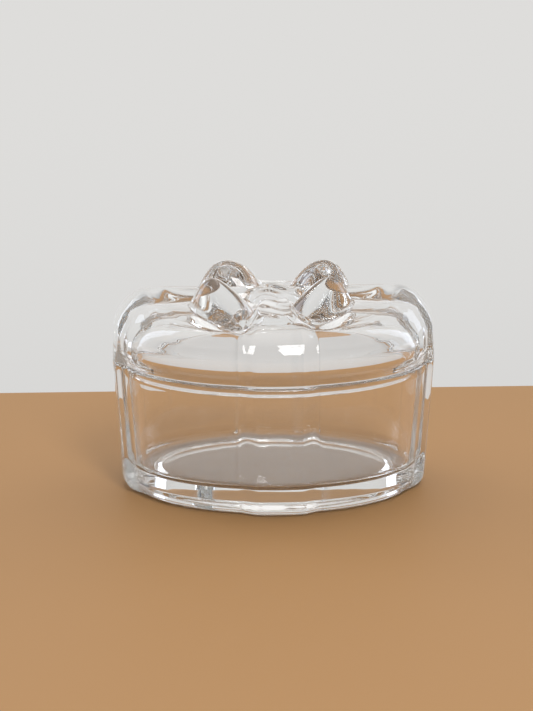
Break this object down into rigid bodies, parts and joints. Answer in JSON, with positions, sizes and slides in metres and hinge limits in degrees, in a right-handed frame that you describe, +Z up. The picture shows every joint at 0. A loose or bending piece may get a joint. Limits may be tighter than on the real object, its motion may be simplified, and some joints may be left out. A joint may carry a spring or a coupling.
{
  "type": "trinket box",
  "caption": "Oval clear glass trinket box with a lift-off domed lid, raised ribbon bands crossing over it and a moulded bow on top.",
  "frame": {"origin": "middle of the oval, on the plane of the flat foot ring that the box stands on", "axes": "+Z up, the way the lid lifts; +X along the length of the oval, through two of the ribbon bands; the front is towards -Y"},
  "size_m": [0.1, 0.082, 0.0693],
  "materials": {
    "crystal": "fire-polished pressed lead crystal, clear and colourless"
  },
  "bodies": {
    "base": {"base": "crystal"},
    "lid": {"lid": "crystal"}
  },
  "joints": [
    {"name": "lid_lift", "type": "slide", "parent": "base", "child": "lid", "axis": [0, 0, 1], "range_m": [0, 0.06]}
  ]
}
